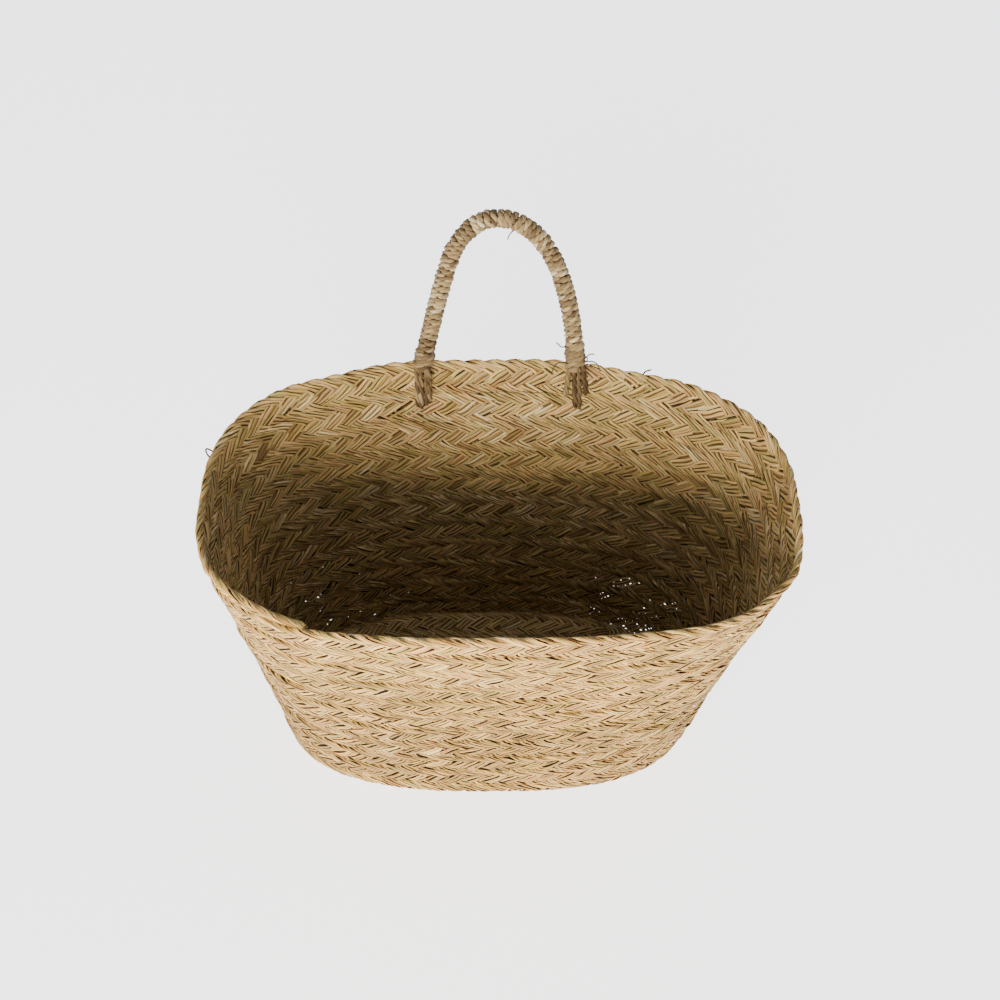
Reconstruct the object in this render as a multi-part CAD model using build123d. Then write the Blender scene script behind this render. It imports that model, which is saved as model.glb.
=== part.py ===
from build123d import *
from math import cos, radians, sin
import os

# Seagrass storage basket, millimetres.
# One long plaited strip is wound as an oval spiral: first flat, as the floor, and then
# upwards, as the wall. Every turn is sewn to the turn before it. A wound rope handle stands
# on the back of the rim, and two cord ties hold it, each going through the wall and back.
# X is to the right, Y is to the back, Z is up. The origin is at the bottom of the box that
# holds the whole basket, in the middle.

# --- driving dimensions -----------------------------------------------------------------

# Plaited strip
STRIP_THICKNESS = 5.0            # through the folded plait, sewn edges included
FLOOR_THICKNESS = 4.5
WALL_TURNS = 11                  # turns that make the wall

# Wall, on the middle of its thickness
MEAN_HEIGHT = 241.0              # the rim rises by one turn on its way round
RIM_HALF_WIDTH = 188.0
RIM_HALF_DEPTH = 111.5
RIM_SHIFT = (2.0, 7.0)           # middle of the rim oval
RIM_ROUNDNESS_BACK = 2.45        # 2 is an ellipse, more is squarer
RIM_ROUNDNESS_FRONT = 3.4
BASE_HALF_WIDTH = 150.5
BASE_HALF_DEPTH = 79.5
BASE_SHIFT = (-9.5, -6.0)        # the wall leans a little, as hand-sewn baskets do
BASE_ROUNDNESS = 2.65
FLARE_BACK = 0.85                # 0 is a straight wall, 1 is upright low down and flared at the top
FLARE_FRONT = 1.00
FLARE_SIDES = 0.00

# End of the strip, a tapered tip on the rim at the front left
TIP_ANGLE = 242.0                # degrees, from +X, seen from above
TIP_TAPER_ANGLE = 12.0           # part of a turn over which the end narrows
TIP_LEFT = 0.10                  # height left at the very end, as a part of the full height
TURN_START = 0.003               # part of a turn that keeps the two ends of each turn apart

# Floor
FLOOR_TURNS = 3                  # turns round the straight stretch in the middle

# Handle
HANDLE_LEAN = 16.0               # degrees, outwards from upright
ROPE_CORE_RADIUS = 3.6
ROPE_RADIUS = 5.9                # over the wound cord
COLLAR_RADIUS = 7.4
COLLAR_LENGTH = 15.0
LEG_START = 5.0                  # the legs begin this far above the hinge line
HINGE_ABOVE_RIM = 3.0
HINGE_INSIDE_WALL = 8.5          # from the inner face of the wall to the hinge line
FOOT_LEFT = -53.0
FOOT_RIGHT = 51.0
ARCH = ((-33.0, 84.0), (-14.0, 109.0), (14.0, 110.0), (35.0, 86.0))   # across, up the handle

# Ties
TIE_RADIUS = 1.9
TIE_HALF_SPREAD_TOP = 2.6
TIE_HALF_SPREAD_SEAM = 5.5
TIE_BEND_RADIUS = 2.4
TIE_HOLE_PLAY = 0.15

# Modelling
STATIONS = 60                    # sections in one turn
FULL_TURN = 360.0


# --- shape of the wall ------------------------------------------------------------------

def oval(half_width, half_depth, roundness, shift, angle):
    """A point of a squarish oval, at an angle in degrees."""
    c = cos(radians(angle))
    s = sin(radians(angle))
    power = 2.0 / roundness
    x = half_width * abs(c) ** power * (1 if c >= 0 else -1)
    y = half_depth * abs(s) ** power * (1 if s >= 0 else -1)
    return Vector(x + shift[0], y + shift[1], 0)


def rim_point(angle):
    """Middle of the wall at the mean rim height."""
    front = sin(radians(angle)) < 0
    roundness = RIM_ROUNDNESS_FRONT if front else RIM_ROUNDNESS_BACK
    return oval(RIM_HALF_WIDTH, RIM_HALF_DEPTH, roundness, RIM_SHIFT, angle)


def base_point(angle):
    """Middle of the wall at the floor."""
    return oval(BASE_HALF_WIDTH, BASE_HALF_DEPTH, BASE_ROUNDNESS, BASE_SHIFT, angle)


def wall_point(angle, rise):
    """Middle of the wall; rise is 0 at the floor and 1 at the mean rim height."""
    c = cos(radians(angle))
    s = sin(radians(angle))
    flare = FLARE_SIDES * c * c + (FLARE_BACK if s > 0 else FLARE_FRONT) * s * s
    outward = rise - flare * rise * (1 - rise)
    base = base_point(angle)
    point = base + (rim_point(angle) - base) * outward
    return Vector(point.X, point.Y, MEAN_HEIGHT * rise)


def wall_normal(angle):
    """Level direction out of the wall, the same for every height."""
    step = 0.5
    half = 0.5
    along = wall_point(angle + step, half) - wall_point(angle - step, half)
    return Vector(along.Y, -along.X, 0).normalized()


def turn_top(turn, way):
    """Rise of a turn's top edge; way goes from 0 to 1 round the basket, from the tip."""
    return (turn - 0.5 + way) / WALL_TURNS


def wall_section(angle, low, high):
    """Cross-section of a turn, between two rises."""
    out = wall_normal(angle) * (STRIP_THICKNESS / 2)
    bottom = wall_point(angle, low)
    top = wall_point(angle, high)
    return make_face(Polyline(bottom - out, bottom + out, top + out, top - out, close=True))


def wall_turn(turn):
    """One turn of the strip, from the tip's place round to the tip's place."""
    floor_rise = FLOOR_THICKNESS / MEAN_HEIGHT
    sections = []
    for station in range(STATIONS + 1):
        way = max(TURN_START, station / STATIONS)
        low = floor_rise if turn == 1 else turn_top(turn - 1, way)
        high = turn_top(turn, way)
        if turn == WALL_TURNS:
            left = (1 - way) * FULL_TURN / TIP_TAPER_ANGLE
            high = low + (high - low) * max(TIP_LEFT, min(1.0, left))
        sections.append(wall_section(TIP_ANGLE + FULL_TURN * way, low, high))
    return loft(sections, ruled=True)


# --- floor ------------------------------------------------------------------------------

def floor_outline(turn):
    """Outline of the floor up to a turn; turn 0 is the straight stretch in the middle."""
    width = STRIP_THICKNESS / 2 + BASE_HALF_WIDTH
    depth = STRIP_THICKNESS / 2 + BASE_HALF_DEPTH
    pitch = depth / (FLOOR_TURNS + 0.5)
    inset = (FLOOR_TURNS - turn) * pitch
    if turn == 0:
        middle = Pos(BASE_SHIFT[0], BASE_SHIFT[1], 0)
        return middle * SlotOverall(2 * (width - inset), 2 * (depth - inset))
    points = []
    for station in range(STATIONS):
        angle = FULL_TURN * station / STATIONS
        points.append(oval(width - inset, depth - inset, BASE_ROUNDNESS, BASE_SHIFT, angle))
    return make_face(Spline(*points, periodic=True))


def floor_turn(turn):
    """One turn of the strip, laid flat round the turn before it."""
    plate = extrude(floor_outline(turn), FLOOR_THICKNESS, dir=(0, 0, 1))
    if turn == 0:
        return plate
    return plate - extrude(floor_outline(turn - 1), FLOOR_THICKNESS, dir=(0, 0, 1))


# --- handle and ties --------------------------------------------------------------------

def way_round(angle):
    """How far round the turn an angle is, from the tip."""
    return ((angle - TIP_ANGLE) % FULL_TURN) / FULL_TURN


BACK = 90.0
BACK_WAY = way_round(BACK)
BACK_RIM = wall_point(BACK, turn_top(WALL_TURNS, BACK_WAY))
HINGE = Vector(0, BACK_RIM.Y - STRIP_THICKNESS / 2 - HINGE_INSIDE_WALL, BACK_RIM.Z + HINGE_ABOVE_RIM)


def on_handle(across, up):
    """A point in the plane of the handle, measured from the hinge line."""
    lean = radians(HANDLE_LEAN)
    return Vector(across, HINGE.Y + up * sin(lean), HINGE.Z + up * cos(lean))


def tangent_radii(points):
    """The largest arc at each corner that two neighbouring runs leave room for."""
    share = 0.45
    radii = []
    for before, corner, after in zip(points, points[1:], points[2:]):
        turn = (corner - before).get_angle(after - corner)
        run = min((corner - before).length, (after - corner).length)
        radii.append(share * run / (sin(radians(turn / 2)) / cos(radians(turn / 2))))
    return radii


def leg_foot(foot, towards):
    """Where a leg starts, LEG_START above the hinge line."""
    across, up = towards
    return on_handle(foot + (across - foot) * LEG_START / up, LEG_START)


def handle_rope(radius):
    """A round rope along the whole arch."""
    points = [leg_foot(FOOT_LEFT, ARCH[0])]
    points += [on_handle(across, up) for across, up in ARCH]
    points.append(leg_foot(FOOT_RIGHT, ARCH[-1]))
    path = FilletPolyline(*points, radius=tangent_radii(points))
    start = Plane(origin=path @ 0, z_dir=path % 0)
    return sweep(start * Circle(radius), path=path)


def collar(foot, towards):
    """Cord whipped round the lower end of a leg."""
    start = leg_foot(foot, towards)
    direction = on_handle(*towards) - start
    place = Plane(origin=start, z_dir=direction)
    ring = Circle(COLLAR_RADIUS) - Circle(ROPE_RADIUS)
    return extrude(place * ring, COLLAR_LENGTH)


def tie(foot, radius):
    """Cord that goes down inside the wall, out through the seam, and back up again."""
    seam = wall_point(BACK, turn_top(WALL_TURNS - 1, BACK_WAY))
    inside = STRIP_THICKNESS / 2 + TIE_RADIUS + 0.3
    hang = BACK_RIM.Y - inside - HINGE.Y
    drop = 12.0
    half = []
    for side in (-1, 1):
        top = foot + side * TIE_HALF_SPREAD_TOP
        low = foot + side * TIE_HALF_SPREAD_SEAM
        half.append([
            Vector(top, HINGE.Y, HINGE.Z),
            Vector((top + low) / 2, HINGE.Y + hang / 3, HINGE.Z - drop),
            Vector(low, seam.Y - inside, seam.Z),
            Vector(low, seam.Y + inside, seam.Z),
        ])
    points = half[0] + half[1][::-1]
    radii = [4 * TIE_BEND_RADIUS] + [TIE_BEND_RADIUS] * 4 + [4 * TIE_BEND_RADIUS]
    path = FilletPolyline(*points, radius=radii)
    start = Plane(origin=path @ 0, z_dir=path % 0)
    return sweep(start * Circle(radius), path=path)


# --- the parts --------------------------------------------------------------------------

def build():
    """Every sub-part by its name, before the origin is set."""
    parts = {"floor_middle": floor_turn(0)}
    for turn in range(1, FLOOR_TURNS + 1):
        parts[f"floor_turn_{turn:02d}"] = floor_turn(turn)
    for turn in range(1, WALL_TURNS):
        parts[f"wall_turn_{turn:02d}"] = wall_turn(turn)
    parts["rim_turn"] = wall_turn(WALL_TURNS)

    for side, foot in (("left", FOOT_LEFT), ("right", FOOT_RIGHT)):
        hole = tie(foot, TIE_RADIUS + TIE_HOLE_PLAY)
        for name in ("rim_turn", f"wall_turn_{WALL_TURNS - 1:02d}"):
            parts[name] = parts[name] - hole
        parts[f"tie_{side}"] = tie(foot, TIE_RADIUS)

    core = handle_rope(ROPE_CORE_RADIUS)
    parts["handle_core"] = core
    parts["handle_winding"] = handle_rope(ROPE_RADIUS) - core
    parts["collar_left"] = collar(FOOT_LEFT, ARCH[0])
    parts["collar_right"] = collar(FOOT_RIGHT, ARCH[-1])
    return parts


parts = build()
box = Compound(children=[part.solids()[0] for part in parts.values()]).bounding_box()
shift = Vector(-(box.min.X + box.max.X) / 2, -(box.min.Y + box.max.Y) / 2, -box.min.Z)
os.makedirs("parts", exist_ok=True)
for name, part in parts.items():
    print(name, len(part.solids()), round(part.volume), part.is_valid)
    export_step(Pos(shift) * part, f"parts/{name}.step")
print("size", box.size)
print("hinge", HINGE + shift)
print("floor middle", Vector(BASE_SHIFT[0], BASE_SHIFT[1], 0) + shift)
print("back rim", BACK_RIM + shift)
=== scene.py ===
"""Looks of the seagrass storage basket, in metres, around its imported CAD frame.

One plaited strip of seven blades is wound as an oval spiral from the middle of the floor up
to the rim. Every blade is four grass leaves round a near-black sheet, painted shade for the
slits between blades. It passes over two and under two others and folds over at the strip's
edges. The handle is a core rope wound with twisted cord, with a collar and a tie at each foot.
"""
import math

import bpy
import numpy as np
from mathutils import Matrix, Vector


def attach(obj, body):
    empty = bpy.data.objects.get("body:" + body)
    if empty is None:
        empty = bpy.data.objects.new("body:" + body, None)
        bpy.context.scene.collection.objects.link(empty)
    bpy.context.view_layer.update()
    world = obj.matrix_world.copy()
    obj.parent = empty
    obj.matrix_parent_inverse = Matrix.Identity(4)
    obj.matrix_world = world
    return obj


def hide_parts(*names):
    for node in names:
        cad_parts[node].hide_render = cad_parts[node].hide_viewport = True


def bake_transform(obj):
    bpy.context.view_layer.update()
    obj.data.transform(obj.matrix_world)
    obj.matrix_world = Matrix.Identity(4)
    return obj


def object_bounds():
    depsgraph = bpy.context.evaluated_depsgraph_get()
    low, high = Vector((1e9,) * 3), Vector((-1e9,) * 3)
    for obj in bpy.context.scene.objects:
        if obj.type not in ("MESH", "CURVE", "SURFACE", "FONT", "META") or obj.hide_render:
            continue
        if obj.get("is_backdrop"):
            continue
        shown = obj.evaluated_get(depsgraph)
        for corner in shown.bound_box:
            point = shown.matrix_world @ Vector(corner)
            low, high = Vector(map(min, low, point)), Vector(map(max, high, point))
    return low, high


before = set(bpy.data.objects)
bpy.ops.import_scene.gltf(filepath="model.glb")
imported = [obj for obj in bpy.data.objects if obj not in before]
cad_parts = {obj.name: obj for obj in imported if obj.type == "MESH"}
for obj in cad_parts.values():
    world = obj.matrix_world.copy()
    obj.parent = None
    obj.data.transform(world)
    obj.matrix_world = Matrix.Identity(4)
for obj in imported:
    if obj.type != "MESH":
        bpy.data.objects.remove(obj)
cad_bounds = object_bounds()

# --- driving dimensions, the same as the CAD model's --------------------------------------

MM = 0.001
SHIFT = np.array([-0.001221, -0.019321, 0.0])    # from the wall's own middle to the frame
FLOOR_LIFT = 2.6 * MM                            # middle of the plait over the ground
WALL_TURNS = 11
MEAN_HEIGHT = 241.0 * MM
RIM = {"half": (188.0 * MM, 111.5 * MM), "shift": (2.0 * MM, 7.0 * MM)}
RIM_ROUNDNESS_BACK = 2.45
RIM_ROUNDNESS_FRONT = 3.4
BASE = {"half": (150.5 * MM, 79.5 * MM), "shift": (-9.5 * MM, -6.0 * MM)}
BASE_ROUNDNESS = 2.65
FLARE_BACK = 0.85                                # how hollow the wall's slope is; none at the ends
FLARE_FRONT = 1.00
TIP_ANGLE = math.radians(242.0)
FLOOR_REACH = 3.5                                # floor turns, counted to the middle line
PITCH = BASE["half"][1] / FLOOR_REACH            # from one row to the next

# --- plait --------------------------------------------------------------------------------

BLADES = 7
BLADE_STEP = 13.8 * MM                           # along the strip, from one blade to the next
STRIP_WIDTH = 25.4 * MM                          # wider than the pitch: its foot is tucked in
LAYER = 1.15 * MM                                # from the strip's middle to a blade's middle
LEAVES = 4                                       # grass leaves side by side in a blade
LEAF_THICKNESS = 0.85 * MM
SHADE_SHEET = -1                                      # number of the flat near-black sheet inside each blade, painted shade for the slits
SCALLOP = 1.3 * MM                               # bulge of each blade at the top edge
RING_STEP = 1.9 * MM                             # mesh step along a blade


def signed_power(value, power):
    """A power of the value's size that keeps its sign."""
    return np.sign(value) * np.abs(value) ** power


def oval(half, roundness, shift, angle):
    """Points of a squarish oval. half and roundness may be arrays."""
    power = 2.0 / roundness
    x = half[0] * signed_power(np.cos(angle), power) + shift[0]
    y = half[1] * signed_power(np.sin(angle), power) + shift[1]
    return x, y


def smooth(low, high, value):
    """0 before low, 1 after high and a smooth step between; low may be the larger one."""
    t = np.clip((value - low) / (high - low), 0.0, 1.0)
    return t * t * (3 - 2 * t)


def wall_xyz(angle, rise):
    """Middle of the wall; rise is 0 at the floor and 1 at the mean rim height."""
    c, s = np.cos(angle), np.sin(angle)
    back = smooth(-0.15, 0.15, s)
    roundness = RIM_ROUNDNESS_FRONT + (RIM_ROUNDNESS_BACK - RIM_ROUNDNESS_FRONT) * back
    flare = (FLARE_FRONT + (FLARE_BACK - FLARE_FRONT) * back) * s * s
    outward = rise - flare * rise * (1 - rise)
    base_x, base_y = oval(BASE["half"], BASE_ROUNDNESS, BASE["shift"], angle)
    rim_x, rim_y = oval(RIM["half"], roundness, RIM["shift"], angle)
    x = base_x + (rim_x - base_x) * outward
    y = base_y + (rim_y - base_y) * outward
    return np.stack([x, y, FLOOR_LIFT + (MEAN_HEIGHT - FLOOR_LIFT) * rise], -1)


def floor_xyz(angle, inset):
    """Middle of the floor, inset from its edge."""
    half = (BASE["half"][0] - inset, BASE["half"][1] - inset)
    x, y = oval(half, BASE_ROUNDNESS, BASE["shift"], angle)
    return np.stack([x, y, np.full_like(x, FLOOR_LIFT)], -1)


CORNER = 0.20                                    # rows over which the floor turns up


def surface(angle, row):
    """Middle surface; row counts pitches from the floor's edge, below 0 on the floor."""
    on_wall = wall_xyz(angle, np.maximum(row, 0.0) / WALL_TURNS)
    on_floor = floor_xyz(angle, np.maximum(-row, 0.0) * PITCH)
    flat = np.where((row >= 0)[..., None], on_wall, on_floor)
    t = np.clip((row + CORNER) / (2 * CORNER), 0.0, 1.0)[..., None]
    start = floor_xyz(angle, np.full_like(angle, CORNER * PITCH))
    corner = floor_xyz(angle, np.zeros_like(angle))
    end = wall_xyz(angle, np.full_like(angle, CORNER / WALL_TURNS))
    bend = (1 - t) ** 2 * start + 2 * t * (1 - t) * corner + t * t * end
    return np.where((np.abs(row) < CORNER)[..., None], bend, flat) + SHIFT


def surface_normal(angle, row):
    """Unit normal, out of the wall and down from the floor."""
    along = surface(angle + 0.004, row) - surface(angle - 0.004, row)
    up = surface(angle, row + 0.02) - surface(angle, row - 0.02)
    normal = np.cross(along, up)
    return normal / np.maximum(np.linalg.norm(normal, axis=-1, keepdims=True), 1e-12)


def reach_along(line):
    """Distance from a line's start to each of its points."""
    return np.concatenate([[0.0], np.cumsum(np.linalg.norm(np.diff(line, axis=0), axis=1))])


# Distance along the strip's middle line against its turn number
TURN_START = -FLOOR_REACH
TURN_END = float(WALL_TURNS)
turn_table = np.linspace(TURN_START, TURN_END, 9000)
reach_table = reach_along(surface(TIP_ANGLE + 2 * math.pi * turn_table, turn_table))
STRIP_LENGTH = reach_table[-1]


SWAY = 0.55 * MM                                 # height of each wave of the strip's unevenness


def sway(turn):
    """Small unevenness of a hand-sewn strip, across it and out of it."""
    lap = 2 * math.pi * turn
    across = SWAY * (np.sin(5.3 * lap + 1.0) + np.sin(13.1 * lap))
    out = SWAY * (np.sin(7.3 * lap) + np.sin(10.9 * lap + 2.0))
    return across, out


def place_on_strip(u, v, n):
    """From along, across and out of the strip to the frame's metres; one row per ring."""
    middle = np.clip(u.mean(axis=1), 0.0, STRIP_LENGTH)
    turn = np.interp(middle, reach_table, turn_table)
    angle = TIP_ANGLE + 2 * math.pi * turn
    slant = np.linalg.norm(surface(angle, turn + 0.25) - surface(angle, turn - 0.25), axis=-1) * 2
    slant = np.maximum(slant, 0.7 * PITCH)[:, None]
    middle_row = turn + 0.5 + (v.mean(axis=1) * tip_taper(middle) - STRIP_WIDTH) / slant[:, 0]
    normal = surface_normal(angle, middle_row)
    across, out = sway(turn)
    along = np.clip(u, 0.0, STRIP_LENGTH)
    turn = np.interp(along, reach_table, turn_table)
    row = turn + 0.5 + (v * tip_taper(along) - STRIP_WIDTH + across[:, None]) / slant
    inward = TIP_INWARD * smooth(TIP_LENGTH, 0.0, STRIP_LENGTH - middle)
    out = n + (out * smooth(0.5, 2.0, middle_row) - inward)[:, None]
    return surface(TIP_ANGLE + 2 * math.pi * turn, row) + normal[:, None, :] * out[..., None]


TIP_LENGTH = 62.0 * MM
TIP_ROUND = 2.5 * MM
TIP_HEIGHT = 0.28                                # of the tip's end, as a part of the strip's
TIP_FULLNESS = 1.6                               # how long the tip stays low: 1 is a straight taper
TIP_INWARD = 3.0 * MM


def tip_taper(u):
    """The last stretch of the strip narrows to a rounded tip."""
    left = STRIP_LENGTH - u
    finger = np.sqrt(np.clip(left / TIP_ROUND, 0.0, 1.0))
    grown = np.clip(left / TIP_LENGTH, 0.0, 1.0) ** TIP_FULLNESS
    return TIP_HEIGHT * finger + (1 - TIP_HEIGHT) * grown


# --- blades -------------------------------------------------------------------------------

SLOPE = math.atan2(STRIP_WIDTH, BLADES * BLADE_STEP / 2)
BLADE_WIDTH = BLADE_STEP * math.sin(SLOPE)
LEG = STRIP_WIDTH / math.sin(SLOPE)              # of a blade, from one edge to the other
# outline of a leaf: across it, and out of it in halves of its thickness
ACROSS = np.array([-1.0, -0.66, 0.0, 0.66, 1.0, 0.66, 0.0, -0.66])
FACE = np.array([0.0, 0.95, 0.75, 0.95, 0.0, -0.95, -0.75, -0.95])
THIN_ACROSS = np.array([-1.0, 0.0, 1.0, 0.0])
THIN_FACE = np.array([0.0, 0.5, 0.0, -0.5])
FOLD_TOP = 1.9 * MM                              # radius of a fold
FOLD_FOOT = 0.7 * MM
ARC_FOOT = 0.30                                  # how far blades turn along the strip's edges
ARC_TOP = 0.50
ARC_RIM = 0.78
BLADE_FILL = 1.06                                # width of a tight blade, in blade spacings
BLADE_SLACK = 0.17                               # taken off it in the loosest rows
BLADE_WANDER = 0.16
LEAF_FILL = 0.31                                 # width of a tight leaf, in blade widths
LEAF_SLACK = 0.055
LEAF_WANDER = 0.12
LEAF_DRIFT = (0.8 * MM, 0.6 * MM)                # of a leaf's middle, and more in loose rows
BLADE_DRIFT = (1.1 * MM, 0.7 * MM)
LEAF_STEP_OUT = 0.13 * MM                        # of each leaf over the one beside it
LEAF_STACK = 0.38 * MM                           # unevenness of a leaf's layer
LEAF_ROLL = (0.05, 0.34)                         # tilt of a leaf, and its unevenness
LIFT_WANDER = 0.22                               # unevenness of a blade's layer
CROSSING_WANDER = 0.30                           # and of where blades change sides, in crossings
SHADE_SHEET_DEPTH = 0.42                              # of the shade sheet's layer, as a part of a leaf's
CUP = 0.30                                       # how much lower a blade's sides lie
RIM_SPREAD = 0.70                                # looser layers, folds and bulges at the rim
RIM_FOLD = 0.5
RIM_BULGE = 0.7
LOW_ROW_SHADE = 0.30                              # painted shade: lower value of the lowest rows' leaves, where less light reaches


def wander(t, seed, scale, octaves=3):
    """Smooth seeded noise along a line, about -1 to 1."""
    local = np.random.default_rng(seed)
    out = np.zeros_like(t)
    for octave in range(octaves):
        step = scale / 2 ** octave
        count = int((t.max() - t.min()) / step) + 6
        knots = local.uniform(-1, 1, count)
        place = (t - t.min()) / step + 1
        low = np.floor(place).astype(int)
        f = place - low
        f = f * f * (3 - 2 * f)
        out += (knots[low] * (1 - f) + knots[low + 1] * f) / 2 ** octave
    return out / 1.75


def over_under(crossing):
    """Face of the strip that a rising blade is on, -1 inside to 1 outside.

    It comes out between its second and third crossing and goes back two crossings later.
    """
    half = 0.38                                  # of the way it takes, in crossings
    up = smooth(2.5 - half, 2.5 + half, crossing)
    down = smooth(4.5 - half, 4.5 + half, crossing)
    return -1 + 2 * up - 2 * down


def fold_factor(distance, radius):
    """How far a fold's circle has opened at a distance from the crease, 0 to 1."""
    part = np.clip(distance / radius, 0.0, 1.0)
    return np.sqrt(part * (2 - part)), 1 - part


def looseness(turn):
    """How loosely a row is plaited: 0 on the floor and at the rim, 1 in the lowest wall rows."""
    return smooth(9.0, 2.0, turn) * smooth(-0.3, 0.3, turn)


def shade_sheet_cover(turn, t, seed):
    """Width of the near-black sheet inside a blade, painted shade for the slits: light shows past
    it in the lower rows at the ends.
    """
    low = smooth(5.2, 2.6, turn) * smooth(-0.3, 0.3, turn)
    ends = smooth(0.15, 0.55, np.abs(np.cos(TIP_ANGLE + 2 * math.pi * turn)))
    loose = smooth(-0.18, 0.20, wander(t, seed + 9, 0.06))
    return 1.12 - 0.90 * low * ends * loose


def leaf_lane(blade, leaf, t, turn):
    """Half width of a leaf, and how far its middle is from the blade's middle."""
    own = 1000 * blade + 100 * (leaf + 1)
    shared = 1000 * blade
    if leaf == SHADE_SHEET:
        return BLADE_WIDTH / 2 * shade_sheet_cover(turn, t, shared), np.zeros_like(t)
    loose = looseness(turn)
    half = BLADE_FILL - BLADE_SLACK * loose + BLADE_WANDER * wander(t, shared + 1, 0.035)
    leaf_half = LEAF_FILL - LEAF_SLACK * loose + LEAF_WANDER * wander(t, own + 2, 0.03)
    half, leaf_half = BLADE_WIDTH / 2 * half, BLADE_WIDTH / 2 * leaf_half
    side = leaf - (LEAVES - 1) / 2
    drift = (LEAF_DRIFT[0] + LEAF_DRIFT[1] * loose) * wander(t, own + 3, 0.013)
    drift = drift + (BLADE_DRIFT[0] + BLADE_DRIFT[1] * loose) * wander(t, shared + 4, 0.018)
    return leaf_half, side * (half - leaf_half) + drift


def leaf_points(blade, leaf, t, across_leaf, face):
    """Rings of one leaf of a blade along the whole strip. t runs along the blade.

    Returns each point's place along, across and out of the strip, and which rings are at the rim.
    """
    own = 1000 * blade + 100 * (leaf + 1)
    shared = 1000 * blade
    turn = np.interp(t * math.cos(SLOPE) + blade * BLADE_STEP, reach_table, turn_table)
    leaf_half, middle = leaf_lane(blade, leaf, t, turn)
    b = across_leaf[None, :] * leaf_half[:, None] + middle[:, None]
    u = t[:, None] * math.cos(SLOPE) - b * math.sin(SLOPE) + blade * BLADE_STEP
    flat_v = t[:, None] * math.sin(SLOPE) + b * math.cos(SLOPE)
    # where it is in its leg from edge to edge: part goes from 0 at the foot to 1 at the top
    leg = np.floor(flat_v / STRIP_WIDTH).astype(int)
    part = flat_v / STRIP_WIDTH - leg
    way = np.where(leg % 2 == 0, 1.0, -1.0)      # 1 rising, -1 falling
    part = np.where(way > 0, part, 1 - part)
    crossing = BLADES * part - way * b / (BLADE_STEP * math.sin(SLOPE))
    crossing = crossing + CROSSING_WANDER * wander(t, shared + 8, 0.02)[:, None]
    level = way * over_under(crossing)
    rim = smooth(WALL_TURNS - 1.1, WALL_TURNS - 0.9, turn)[:, None]
    arc = np.where(part < 0.5, ARC_FOOT, ARC_TOP + (ARC_RIM - ARC_TOP) * rim)
    v = STRIP_WIDTH * (part - arc * np.sin(2 * math.pi * part) / (2 * math.pi))
    open_top, turn_top = fold_factor(STRIP_WIDTH - v, FOLD_TOP * (1 + RIM_FOLD * rim))
    open_foot, turn_foot = fold_factor(v, FOLD_FOOT)
    opening = open_top * open_foot
    # the strip is open along its top, round the thin foot of the next row
    spread = 1.0 + (0.50 + RIM_SPREAD * rim) * smooth(0.68, 0.86, part)
    spread = spread - 0.50 * smooth(0.30, 0.12, part)
    across = np.clip(b / (BLADE_WIDTH / 2), -1, 1)
    cup = 1 - CUP * across ** 2
    lift = 1 + LIFT_WANDER * wander(t, shared + 5, 0.03)[:, None]
    n = level * opening * LAYER * spread * cup * lift
    if leaf == SHADE_SHEET:
        n = SHADE_SHEET_DEPTH * n
    else:
        side = leaf - (LEAVES - 1) / 2
        stack = LEAF_STACK * wander(t, own + 6, 0.03) + LEAF_STEP_OUT * side
        roll = LEAF_ROLL[0] + LEAF_ROLL[1] * wander(t, own + 7, 0.03)
        n = n + level * opening * (stack[:, None] + roll[:, None] * (b - middle[:, None]))
    body = LEAF_THICKNESS / 2 * face[None, :] * (1 - 0.35 * smooth(0.2, 0.05, part))
    n = n - way * opening * body
    bulge = SCALLOP * (1 + RIM_BULGE * rim) * (1 - across ** 2)
    bulge = bulge * smooth(5.2, 7.0, BLADES * part)
    v = v + body * (turn_top - turn_foot) + bulge
    at_rim = (rim * smooth(0.70, 0.88, part)).mean(axis=1)
    return u, v, n, at_rim


def leaf_tones(t, blade, leaf, n):
    """Colour and value of each point, and where it is: 0 inside and 1 outside, for painted cool
    shade and warm light tints, and 1.4 to 2 on the painted-shade sheet.
    """
    place = t / (2 * LEG) + 40.5
    lap = np.floor(place).astype(int)
    size = (int(place.max()) + 3, 2)
    shared = np.random.default_rng(11 + blade).uniform(0, 1, size)
    own = np.random.default_rng(111 + blade * LEAVES + leaf).uniform(0, 1, size)
    table = np.clip(0.5 + 1.4 * (0.5 * shared + 0.5 * own - 0.5), 0, 1)
    f = smooth(0.96, 1.0, place - lap)[:, None]
    tone = np.zeros((*n.shape, 3))
    tone[:, :, :2] = (table[lap] * (1 - f) + table[lap + 1] * f)[:, None, :]
    turn = np.interp(t * math.cos(SLOPE) + blade * BLADE_STEP, reach_table, turn_table)
    # painted shade: the lowest wall rows darkened, where less light reaches
    tone[:, :, 1] -= LOW_ROW_SHADE * looseness(turn)[:, None]
    # 0 on inner faces, 1 on outer ones, for the painted cool shade and warm light tints
    tone[:, :, 2] = smooth(-0.4 * MM, 0.4 * MM, n)
    if leaf == SHADE_SHEET:
        # the painted-shade sheet: from 1.4 where it lies inward to 2 where it lies outward, darkest
        # there
        tone[:, :, 2] = 1.4 + 0.6 * smooth(-0.2 * MM, 0.2 * MM, n)
    return tone


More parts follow.
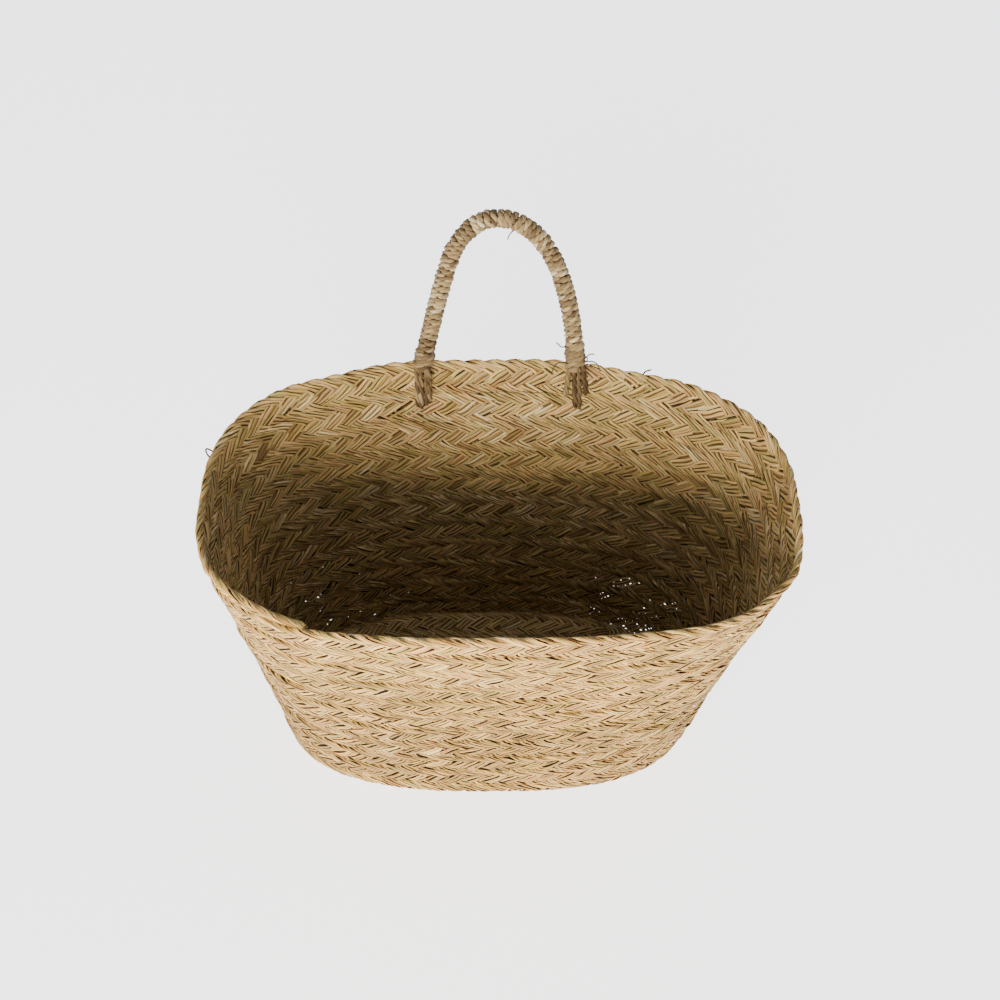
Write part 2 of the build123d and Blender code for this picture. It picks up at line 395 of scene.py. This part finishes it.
class Builder:
    """Collects rings of points into one mesh."""

    def __init__(self):
        self.points = []
        self.quads = []
        self.caps = []
        self.strand = []
        self.tone = []
        self.count = 0

    def add(self, points, strand, tone):
        """points is (rings, around, 3); strand is the same size; tone may be one row a ring."""
        rings, around = points.shape[:2]
        ring = np.arange(rings - 1)[:, None] * around + self.count
        j = np.arange(around)[None, :]
        k = (j + 1) % around
        quads = np.stack([ring + j, ring + k, ring + around + k, ring + around + j], -1)
        self.quads.append(quads.reshape(-1, 4))
        self.points.append(points.reshape(-1, 3))
        self.strand.append(strand.reshape(-1, 3))
        tone = tone if tone.ndim == 3 else tone[:, None, :]
        self.tone.append(np.broadcast_to(tone, points.shape).reshape(-1, 3))
        last = self.count + (rings - 1) * around
        self.caps.append(np.arange(around)[::-1] + self.count)
        self.caps.append(np.arange(around) + last)
        self.count += rings * around

    def make(self, name, material):
        """The mesh object, smooth and closed."""
        mesh = bpy.data.meshes.new(name)
        quads = np.concatenate(self.quads)
        loops = np.concatenate([quads.reshape(-1)] + self.caps)
        sizes = np.concatenate([np.full(len(quads), 4), [len(cap) for cap in self.caps]])
        points = np.concatenate(self.points).astype(np.float32)
        mesh.vertices.add(len(points))
        mesh.vertices.foreach_set("co", points.reshape(-1))
        mesh.loops.add(len(loops))
        mesh.loops.foreach_set("vertex_index", loops.astype(np.int32))
        mesh.polygons.add(len(sizes))
        starts = np.concatenate([[0], np.cumsum(sizes)[:-1]]).astype(np.int32)
        mesh.polygons.foreach_set("loop_start", starts)
        mesh.polygons.foreach_set("use_smooth", np.ones(len(sizes), dtype=bool))
        mesh.update(calc_edges=True)
        for key, values in (("strand", self.strand), ("tone", self.tone)):
            layer = mesh.attributes.new(key, "FLOAT_VECTOR", "POINT")
            layer.data.foreach_set("vector", np.concatenate(values).astype(np.float32).reshape(-1))
        mesh.validate()
        item = bpy.data.objects.new(name, mesh)
        bpy.context.scene.collection.objects.link(item)
        mesh.materials.append(material)
        return item


def strip_leaves(length):
    """Every leaf of a strip of that length: u, v and n of its points, with strand and tone."""
    for blade in range(BLADES):
        start = -(blade * BLADE_STEP + BLADE_WIDTH) / math.cos(SLOPE)
        end = (length - blade * BLADE_STEP + BLADE_WIDTH) / math.cos(SLOPE)
        t = np.arange(start, end, RING_STEP)
        for leaf in range(SHADE_SHEET, LEAVES):
            across, face = (THIN_ACROSS, THIN_FACE) if leaf == SHADE_SHEET else (ACROSS, FACE)
            u, v, n, at_rim = leaf_points(blade, leaf, t, across, face)
            mark = float(blade * LEAVES + leaf)
            # across the leaf, for the painted shade at its edges; less of it on the rim's folds
            side = across[None, :] * (1 - 0.45 * at_rim[:, None])
            strand = np.stack(np.broadcast_arrays(t[:, None], side, mark), -1)
            yield u, v, n, strand, leaf_tones(t, blade, leaf, n)


START_LENGTH = 58.0 * MM                         # of the strip's folded start
START_WIDTH = 0.80                               # of it, as a part of the strip's
START_MIDDLE = np.array([42.5, -22.5, 4.4]) * MM
START_SINK = 1.9 * MM                            # of its edges, into the floor


def folded_start(material):
    """The strip's first stretch, folded flat over the opening where the coil begins."""
    builder = Builder()
    for u, v, n, strand, tone in strip_leaves(START_LENGTH):
        along = 2 * np.clip(u / START_LENGTH, 0.0, 1.0) - 1
        across = 2 * v / STRIP_WIDTH - 1
        sink = START_SINK * np.clip(along ** 6 + across ** 4, 0.0, 1.0)
        x = along * START_LENGTH / 2
        y = -across * STRIP_WIDTH / 2 * START_WIDTH * np.sqrt(1 - 0.7 * along ** 6)
        builder.add(START_MIDDLE + np.stack([x, y, -n - sink], -1), strand, tone)
    return builder.make("plait_floor_middle", material)


def plait_pieces(material):
    """The plaited strip and its folded start, with the node that each mesh stands for.

    The strip is cut every half turn, except that its first turn and a half is one mesh.
    """
    turns = np.concatenate([[TURN_START], np.arange(-2.0, WALL_TURNS + 0.1, 0.5)])
    cuts = np.interp(turns, turn_table, reach_table)
    builders = [Builder() for _ in cuts[1:]]
    for u, v, n, strand, tone in strip_leaves(STRIP_LENGTH):
        points = place_on_strip(u, v, n)
        marks = np.searchsorted(u.mean(axis=1), cuts)
        marks[-1] = len(u) - 1
        for builder, low, high in zip(builders, marks[:-1], marks[1:]):
            part = slice(low, high + 1)
            builder.add(points[part], strand[part], tone[part])
    pieces = [(folded_start(material), "floor_middle")]
    for builder, turn in zip(builders, turns):
        if turn < 0:
            node = f"floor_turn_{max(int(turn + 4), 1):02d}"
        elif turn < WALL_TURNS - 1:
            node = f"wall_turn_{int(turn + 1):02d}"
        else:
            node = "rim_turn"
        half = "b" if turn % 1 else "a"
        pieces.append((builder.make(f"plait_{node}_{half}", material), node))
    return pieces


# --- materials ----------------------------------------------------------------------------

class Nodes:
    """Short names for building a material's node tree."""

    def __init__(self, name):
        self.material = bpy.data.materials.new(name)
        self.material.use_nodes = True
        self.tree = self.material.node_tree
        self.shader = self.tree.nodes["Principled BSDF"]

    def node(self, kind, **settings):
        item = self.tree.nodes.new(kind)
        for key, value in settings.items():
            if hasattr(item, key):
                setattr(item, key, value)
            else:
                item.inputs[key.replace("_", " ")].default_value = value
        return item

    def link(self, source, target):
        self.tree.links.new(source, target)

    def attribute(self, name):
        return self.node("ShaderNodeAttribute", attribute_name=name).outputs["Vector"]

    def split(self, vector):
        item = self.node("ShaderNodeSeparateXYZ")
        self.link(vector, item.inputs[0])
        return item.outputs

    def scaled(self, vector, scale):
        item = self.node("ShaderNodeVectorMath", operation="MULTIPLY")
        self.link(vector, item.inputs[0])
        item.inputs[1].default_value = scale
        return item.outputs[0]

    def noise(self, vector, scale=1.0, detail=3.0, roughness=0.6):
        item = self.node("ShaderNodeTexNoise", Scale=scale, Detail=detail, Roughness=roughness)
        self.link(vector, item.inputs["Vector"])
        return item.outputs["Fac"]

    def ramp(self, value, stops):
        item = self.node("ShaderNodeValToRGB")
        elements = item.color_ramp.elements
        while len(elements) < len(stops):
            elements.new(0.5)
        for element, (place, color) in zip(elements, stops):
            element.position = place
            element.color = (*color, 1.0) if len(color) == 3 else color
        self.link(value, item.inputs[0])
        return item.outputs[0]

    def multiply(self, factor, first, second):
        """The first colour times the second, by a factor of 0 to 1."""
        item = self.node("ShaderNodeMix", data_type="RGBA", blend_type="MULTIPLY")
        item.inputs[0].default_value = factor
        self.link(first, item.inputs[6])
        self.link(second, item.inputs[7])
        return item.outputs[2]

    def math(self, operation, value, number=0.0):
        item = self.node("ShaderNodeMath", operation=operation)
        self.link(value, item.inputs[0])
        item.inputs[1].default_value = number
        return item.outputs[0]

    def bump(self, height, distance, strength=1.0):
        item = self.node("ShaderNodeBump", Strength=strength, Distance=distance)
        self.link(height, item.inputs["Height"])
        self.link(item.outputs[0], self.shader.inputs["Normal"])


WHITE = (1.0, 1.0, 1.0)
VALUE_STOPS = [(0.0, (0.64, 0.62, 0.58)), (0.5, (0.92, 0.92, 0.92)), (1.0, (1.14, 1.13, 1.12))]
LINE_STOPS = [(0.32, (0.50, 0.43, 0.34)), (0.50, WHITE), (0.70, (1.12, 1.11, 1.09))]
STAIN_STOPS = [(0.30, (0.72, 0.63, 0.50)), (0.52, WHITE)]
# painted shade along leaf edges, where leaves meet
EDGE_SHADE_STOPS = [(0.50, WHITE), (0.93, (0.20, 0.15, 0.10))]
# painted light and shade: inner faces tinted cool as if in shade, outer faces tinted warm as if lit
OUTER_LIGHT_INNER_SHADE_STOPS = [(0.0, (1.0, 1.03, 1.08)), (1.0, (1.03, 0.95, 0.76))]
# painted shade: the near-black of the sheet inside each blade, seen in the slits
SHADE_SHEET_STOPS = [(0.0, WHITE), (0.9, (0.060, 0.038, 0.016))]
ROUGHNESS_STOPS = [(0.3, (0.72, 0.72, 0.72)), (0.8, (0.52, 0.52, 0.52))]


def seagrass_material(name, tones, lines, bump):
    """Dry seagrass: each leaf has its own tone, fine lines along it, painted shade along its edges,
    and stains.

    The meshes carry "strand" (place along and across a strand, and its number) and "tone"
    (colour, value, and inside, outside or painted-shade sheet); across sets the painted edge shade.
    """
    make = Nodes(name)
    strand = make.attribute("strand")
    tone = make.split(make.attribute("tone"))
    color = make.ramp(tone[0], tones)
    color = make.multiply(1.0, color, make.ramp(tone[1], VALUE_STOPS))
    fine = make.noise(make.scaled(strand, (38.0, lines, 7.3)), detail=4.0)
    color = make.multiply(0.90, color, make.ramp(fine, LINE_STOPS))
    patch = make.noise(make.scaled(strand, (60.0, 0.7, 3.1)), detail=2.0)
    color = make.multiply(0.75, color, make.ramp(patch, STAIN_STOPS))
    # painted shade: darker towards each leaf's edges, where leaves meet
    across = make.math("ABSOLUTE", make.split(strand)[1])
    color = make.multiply(1.0, color, make.ramp(across, EDGE_SHADE_STOPS))
    # painted light and shade: cool tint on inner faces, warm tint on outer faces
    color = make.multiply(1.0, color, make.ramp(tone[2], OUTER_LIGHT_INNER_SHADE_STOPS))
    # painted shade: the sheet inside each blade turns near-black
    shade_sheet_mask = make.math("SUBTRACT", tone[2], 1.0)
    color = make.multiply(1.0, color, make.ramp(shade_sheet_mask, SHADE_SHEET_STOPS))
    make.link(color, make.shader.inputs["Base Color"])
    make.link(make.ramp(fine, ROUGHNESS_STOPS), make.shader.inputs["Roughness"])
    make.shader.inputs["Specular IOR Level"].default_value = 0.25
    make.shader.inputs["Sheen Weight"].default_value = 0.03
    make.bump(fine, bump)
    return make.material


STRAW_TONES = [
    (0.00, (0.44, 0.25, 0.080)),
    (0.15, (0.56, 0.39, 0.105)),
    (0.30, (0.54, 0.41, 0.140)),
    (0.48, (0.68, 0.45, 0.150)),
    (0.66, (0.70, 0.42, 0.170)),
    (0.84, (0.75, 0.51, 0.190)),
    (1.00, (0.82, 0.62, 0.290)),
]
CORD_TONES = [
    (0.00, (0.13, 0.075, 0.030)),
    (0.30, (0.25, 0.160, 0.070)),
    (0.60, (0.32, 0.218, 0.095)),
    (0.85, (0.43, 0.305, 0.142)),
    (1.00, (0.68, 0.540, 0.310)),
]


# --- handle -------------------------------------------------------------------------------

HINGE = np.array([-0.001221, 0.088769, 0.245704])
LEAN = math.radians(16.0)
LEG_START = 5.0 * MM                             # of the core and the winding, from the hinge line
CORE_RADIUS = 3.6 * MM
CORE_TWIST = 30.0 * MM                           # along a cord, for one turn of its plies
WINDING_RADIUS = 4.5 * MM                        # to the middle of the wound cord
WINDING_CORD = 2.2 * MM                          # radius of the wound cord
WINDING_TWIST = 8.0 * MM
WINDING_PITCH = 4.1 * MM
WINDING_INSET = 2.0 * MM                         # from the core's ends
COLLAR_RADIUS = 5.3 * MM
COLLAR_CORD = 2.5 * MM
COLLAR_TWIST = 9.0 * MM
COLLAR_PITCH = 4.0 * MM
# start from the leg's foot, length and seed; the right one starts from the other foot
COLLARS = {"left": (5.2 * MM, 11.0 * MM, 60), "right": (-20.5 * MM, 16.5 * MM, 71)}
PLY_RADIUS = 0.60                                # of a ply, as a part of its cord's
PLY_OFFSET = 0.46                                # of a ply's middle from its cord's
PRESSED = 0.62                                   # flattening of a cord wound tight on a core
ACROSS_HANDLE = np.array([1.0, 0.0, 0.0])
UP_HANDLE = np.array([0.0, math.sin(LEAN), math.cos(LEAN)])
FACE_HANDLE = np.cross(ACROSS_HANDLE, UP_HANDLE)
UPWARDS = np.array([0.0, 0.3, 1.0])              # default side of a cord
# outline of the arch in its own plane, in millimetres: across and up from the hinge line
ARCH = [(-54, 0), (-44.5, 42), (-34, 80), (-27, 96), (-14, 109), (3, 112), (20, 104)]
ARCH += [(34.5, 86), (44.5, 58), (50, 28), (52, 0)]


def smooth_line(points, step):
    """Even points along the smooth line that a control polygon guides."""
    points = np.asarray(points, float)
    middles = (points[:-1] + points[1:]) / 2
    stretches = [np.linspace(points[0], middles[0], 20)]
    t = np.linspace(0, 1, 30)[:, None]
    for before, corner, after in zip(middles[:-1], points[1:-1], middles[1:]):
        stretches.append((1 - t) ** 2 * before + 2 * t * (1 - t) * corner + t * t * after)
    stretches.append(np.linspace(middles[-1], points[-1], 20))
    line = np.concatenate(stretches)
    keep = np.concatenate([[True], np.linalg.norm(np.diff(line, axis=0), axis=1) > 1e-9])
    line = line[keep]
    reach = reach_along(line)
    even = np.linspace(0, reach[-1], max(4, int(reach[-1] / step)))
    return np.stack([np.interp(even, reach, line[:, k]) for k in range(3)], -1), even


def frames_along(line, reference):
    """Two side directions at each point; reference is near the second."""
    tangent = np.gradient(line, axis=0)
    tangent /= np.linalg.norm(tangent, axis=1, keepdims=True)
    side = np.cross(tangent, np.broadcast_to(reference, tangent.shape))
    side /= np.linalg.norm(side, axis=1, keepdims=True)
    return side, np.cross(side, tangent)


def handle_line(step):
    """Middle of the handle from foot to foot, and the distance along it."""
    across = np.array([p[0] for p in ARCH])[:, None] * MM
    up = np.array([p[1] for p in ARCH])[:, None] * MM
    return smooth_line(HINGE + across * ACROSS_HANDLE + up * UP_HANDLE, step)


def tube(builder, line, radius, seed, around, tone, reference=UPWARDS, squash=1.0):
    """A round or flattened strand along a line."""
    side, other = frames_along(line, reference)
    radius = np.broadcast_to(radius, len(line))[:, None, None]
    angle = np.linspace(0, 2 * math.pi, around, endpoint=False)
    ring = np.cos(angle)[None, :, None] * side[:, None, :] * squash
    ring = ring + np.sin(angle)[None, :, None] * other[:, None, :]
    reach = reach_along(line)
    # across the strand, for the painted shade at its edges
    spin = 0.55 * (1 - 2 * np.abs(np.linspace(-1, 1, around, endpoint=False)))
    strand = np.stack(np.broadcast_arrays(reach[:, None], spin[None, :], float(seed)), -1)
    builder.add(line[:, None, :] + ring * radius, strand, tone)


def twisted_cord(builder, line, radius, seed, twist, plies=2, reference=UPWARDS, dark=0.0):
    """Uneven plies twisted round each other along a line.

    They are pressed flat where the reference is given for each point, as in a winding.
    """
    side, other = frames_along(line, reference)
    reach = reach_along(line)
    flat = PRESSED if np.ndim(reference) == 2 else 1.0
    for ply in range(plies):
        wobble = 0.8 * wander(reach, seed + ply, 0.02)
        phase = 2 * math.pi * (reach / twist + ply / plies) + wobble
        offset = np.cos(phase)[:, None] * side + flat * np.sin(phase)[:, None] * other
        grow = 1 + 0.28 * wander(reach, seed + 10 + ply, 0.010)
        own = seed * 7 + ply
        tone = ply_tones(reach, own) - (dark, dark, 0.0)
        ply_line = line + offset * radius * PLY_OFFSET
        tube(builder, ply_line, radius * PLY_RADIUS * grow, own, 8, tone, reference, squash=1.1)


def ply_tones(reach, seed):
    """Tone values that wander along a ply."""
    color, value = (0.5 + 0.8 * wander(reach, seed + k * 31, 0.03) for k in range(2))
    return np.stack([color, value, 0 * reach], -1)


def wind(line, radius, pitch, start, length, seed, phase=0.0):
    """An uneven helix round part of a line, and the way out at each of its points."""
    side, other = frames_along(line, FACE_HANDLE)
    reach = reach_along(line)
    turns = length / pitch
    t = np.linspace(0, 1, int(turns * 30))
    angle = 2 * math.pi * turns * t + phase
    place = start + length * t + 1.1 * MM * wander(t * turns, seed + 1, 2.0)
    place = place + 1.3 * MM * wander(t * turns, seed + 3, 3.0) * np.sin(angle + 0.6)
    place = np.clip(place, reach[0], reach[-1])
    radius = radius * (1 + 0.07 * wander(t * turns, seed + 2, 0.9))
    middle = np.stack([np.interp(place, reach, line[:, k]) for k in range(3)], -1)
    first = np.stack([np.interp(place, reach, side[:, k]) for k in range(3)], -1)
    second = np.stack([np.interp(place, reach, other[:, k]) for k in range(3)], -1)
    out = np.cos(angle)[:, None] * first + np.sin(angle)[:, None] * second
    return middle + out * radius[:, None], out


def make_handle(cord):
    """Core rope, the cord wound round it, and a collar on each foot."""
    whole, whole_reach = handle_line(1.0 * MM)
    inside = (whole_reach > LEG_START) & (whole_reach < whole_reach[-1] - LEG_START)
    line = whole[inside]
    reach = whole_reach[inside] - LEG_START
    core = Builder()
    twisted_cord(core, line, CORE_RADIUS, 901, CORE_TWIST, plies=3, reference=FACE_HANDLE)
    pieces = [(core.make("handle_rope_core", cord), "handle_core")]
    winding = Builder()
    length = reach[-1] - 2 * WINDING_INSET
    helix, out = wind(line, WINDING_RADIUS, WINDING_PITCH, WINDING_INSET, length, 40)
    twisted_cord(winding, helix, WINDING_CORD, 950, WINDING_TWIST, reference=out)
    pieces.append((winding.make("handle_cord_winding", cord), "handle_winding"))
    for name, (start, length, seed) in COLLARS.items():
        start = start if start > 0 else whole_reach[-1] + start
        collar = Builder()
        helix, out = wind(whole, COLLAR_RADIUS, COLLAR_PITCH, start, length, seed, phase=1.0)
        twisted_cord(collar, helix, COLLAR_CORD, 980 + seed, COLLAR_TWIST, reference=out)
        pieces.append((collar.make(f"collar_{name}_whipping", cord), f"collar_{name}"))
    for piece, node in pieces:
        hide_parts(node)
        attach(piece, "handle")


# legs of the ties, in millimetres: where each starts and where it enters the wall, both across
# from the middle, and how far below the seam it enters
TIES = {
    "left": ((-57.5, -57.6, 9.5), (-54.5, -55.6, 11.0), (-50.5, -51.5, 8.0), (-49.0, -49.5, 5.0)),
    "right": ((48.0, 46.0, 2.0), (51.0, 53.0, 10.0), (54.0, 56.0, 11.5), (57.0, 60.5, 1.0)),
}
TIE_RADIUS = 1.8 * MM
TIE_TWIST = 15.0 * MM
TIE_DARK = 0.30
TIE_SIDE = np.array([0.1, 1.0, 0.2])
TIE_CLEAR = 4.4 * MM                             # from the wall's middle to the cord inside it
OUTSIDE = np.array([0.0, 5.5 * MM, 0.0])         # from the feet to the stitch outside the wall


def make_ties(cord):
    """Cord ties between the collars and the wall, bent at the hinge line, with a stitch outside."""
    turn = WALL_TURNS - 1 + ((math.pi / 2 - TIP_ANGLE) % (2 * math.pi)) / (2 * math.pi)
    angle = np.array([math.pi / 2])
    seam = surface(angle, np.array([turn - 0.5]))[0]
    rim = surface(angle, np.array([turn + 0.5]))[0]
    slope = (rim[1] - seam[1]) / (rim[2] - seam[2])
    over_rim = 0.5 * (rim[1] - TIE_CLEAR - HINGE[1])
    for name, legs in TIES.items():
        tie = Builder()
        feet = []
        for number, (top, low, drop) in enumerate(np.array(legs) * MM):
            gathered = 0.6 * top + 0.4 * legs[1][0] * MM
            foot = np.array([SHIFT[0] + low, seam[1] - drop * slope, seam[2] - drop])
            feet.append(foot)
            route = np.array([
                HINGE + ACROSS_HANDLE * gathered + UP_HANDLE * 8.0 * MM,
                HINGE + np.array([top, 0.2 * MM, 1.0 * MM]),
                HINGE + np.array([0.6 * top + 0.4 * low, over_rim, -11.0 * MM]),
                foot + np.array([0.0, 1.2 * MM - TIE_CLEAR, 5.0 * MM]),
                foot + np.array([0.0, -1.0 * MM, 0.0]),
                foot + np.array([0.0, 1.5 * MM, -1.0 * MM]),
            ])
            leg, _ = smooth_line(route, 0.8 * MM)
            own = 1200 + 40 * len(name) + number
            twisted_cord(tie, leg, TIE_RADIUS, own, TIE_TWIST, reference=TIE_SIDE, dark=TIE_DARK)
        first, last = feet[0], feet[-1]
        middle = (first + last) / 2 + 1.1 * OUTSIDE
        route = np.array([first, first + OUTSIDE, middle, last + OUTSIDE, last])
        stitch, _ = smooth_line(route, 0.8 * MM)
        twisted_cord(tie, stitch, TIE_RADIUS, 1300 + len(name), TIE_TWIST, dark=TIE_DARK)
        piece = tie.make(f"tie_{name}_cord", cord)
        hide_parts(f"tie_{name}")
        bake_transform(piece)


# --- stray fibres -------------------------------------------------------------------------

# points across, up and out of the handle's plane, in millimetres
HANDLE_FIBRES = [
    [(52, 5, 3), (44, 9.5, 5), (38, 9, 5), (35.5, 2, 5)],
    [(53, 5, 2), (59, 10.0, 4), (66, 9, 4), (68.5, 2, 4)],
    [(46, 21, 2), (42, 20, 4), (40, 22, 4), (38, 24, 4)],
    [(54, 9, 3), (58, 12, 4), (61, 15.5, 4), (64, 15, 4)],
    [(55, 8, 3), (59, 9, 4), (60, 12, 4), (57, 14, 4)],
    [(10, 104, 2), (7.5, 103, 3), (5.5, 100, 3), (5, 97.5, 3)],
]
# turn, height over the row's top edge and out of the wall, in millimetres, along one fibre
RIM_FIBRES = [
    [(10.80, -3, 2), (10.801, 1, 5), (10.803, 3, 6), (10.806, 1, 5), (10.807, -4, 2)],
    [(10.505, -2, 2), (10.504, 1, 4), (10.502, 3, 3), (10.500, 5, 2)],
]
FIBRE_RADIUS = 0.42 * MM
RIM_FIBRE_RADIUS = 0.588 * MM
FIBRE_STEP = 0.7 * MM


def make_fibres(cord):
    """Loose fibres that stand out of the handle and of the rim."""
    loose = Builder()
    for number, points in enumerate(HANDLE_FIBRES):
        points = np.array(points) * MM
        route = HINGE + points[:, :1] * ACROSS_HANDLE + points[:, 1:2] * UP_HANDLE
        route = route + points[:, 2:] * FACE_HANDLE
        line, _ = smooth_line(route, FIBRE_STEP)
        tube(loose, line, FIBRE_RADIUS, 2000 + number, 6, np.zeros((len(line), 3)))
    piece = loose.make("handle_loose_fibres", cord)
    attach(piece, "handle")
    loose = Builder()
    for number, points in enumerate(RIM_FIBRES):
        points = np.array(points)
        angle = TIP_ANGLE + 2 * math.pi * points[:, 0]
        base = surface(angle, points[:, 0] + 0.5)
        normal = surface_normal(angle, points[:, 0] + 0.5)
        route = base + normal * points[:, 2:] * MM
        route[:, 2] += points[:, 1] * MM
        line, _ = smooth_line(route, FIBRE_STEP)
        tube(loose, line, RIM_FIBRE_RADIUS, 2100 + number, 6, np.zeros((len(line), 3)))
    piece = loose.make("rim_loose_fibres", cord)
    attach(piece, "basket")


# --- stage --------------------------------------------------------------------------------

TARGET = Vector((-0.0012, -0.0193, 0.2375))
ELEVATION = math.radians(50.6)
DISTANCE = 0.82
SENSOR = 36.0
LENS = 46.1988                                   # focal length, in the sensor's unit
FLOOR_COLOR = (0.90, 0.90, 0.90, 1.0)
FLOOR_GLOW = 2.5
SKY_COLOR = (0.88, 0.96, 1.14, 1.0)
SKY_STRENGTH = 0.56


def make_stage():
    """Pale floor that gives off some light, a cool sky and one warm softbox."""
    bpy.ops.mesh.primitive_plane_add(size=12.0)
    floor = bpy.context.object
    floor.name = "stage_floor"
    make = Nodes("stage_floor")
    make.shader.inputs["Base Color"].default_value = FLOOR_COLOR
    make.shader.inputs["Roughness"].default_value = 0.9
    make.shader.inputs["Emission Color"].default_value = (1.0, 1.0, 1.0, 1.0)
    make.shader.inputs["Emission Strength"].default_value = FLOOR_GLOW
    floor.data.materials.append(make.material)
    floor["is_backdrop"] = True
    world = bpy.data.worlds.new("studio")
    world.use_nodes = True
    sky = world.node_tree.nodes["Background"]
    sky.inputs["Color"].default_value = SKY_COLOR
    sky.inputs["Strength"].default_value = SKY_STRENGTH
    bpy.context.scene.world = world
    make_key_light()


LIGHT_DISTANCE = 2.0
LIGHT_SIDE = math.radians(-15.0)                 # to the right of the front
LIGHT_UP = math.radians(10.2)
LIGHT_SIZE = (1.7, 1.0)
LIGHT_POWER = 90.0
WARM = (1.0, 0.93, 0.80)


def make_key_light():
    """A softbox in front of the basket."""
    data = bpy.data.lights.new("key", "AREA")
    data.shape = "RECTANGLE"
    data.size, data.size_y = LIGHT_SIZE
    data.energy = LIGHT_POWER
    data.color = WARM
    light = bpy.data.objects.new("key", data)
    bpy.context.scene.collection.objects.link(light)
    level = math.cos(LIGHT_UP)
    away = Vector((math.sin(LIGHT_SIDE) * level, -math.cos(LIGHT_SIDE) * level, math.sin(LIGHT_UP)))
    light.location = TARGET + away * LIGHT_DISTANCE
    light.rotation_euler = away.to_track_quat("Z", "Y").to_euler()


def make_camera():
    """Camera in front of the basket, looking down into it."""
    data = bpy.data.cameras.new("photo_view")
    camera = bpy.data.objects.new("photo_view", data)
    bpy.context.scene.collection.objects.link(camera)
    away = Vector((0.0, -math.cos(ELEVATION), math.sin(ELEVATION)))
    camera.location = TARGET + away * DISTANCE
    camera.rotation_euler = (-away).to_track_quat("-Z", "Y").to_euler()
    data.sensor_width = SENSOR
    data.lens = LENS
    bpy.context.scene.camera = camera


straw = seagrass_material("plaited_seagrass", STRAW_TONES, lines=2.7, bump=0.35 * MM)
cord = seagrass_material("seagrass_cord", CORD_TONES, lines=2.2, bump=0.3 * MM)
for piece, node in plait_pieces(straw):
    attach(piece, "basket")
    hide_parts(node)
make_handle(cord)
make_ties(cord)
make_fibres(cord)
make_stage()
make_camera()

bounds = {"cad": cad_bounds, "visual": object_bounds()}
{key: [[float(x) for x in corner] for corner in box] for key, box in bounds.items()}
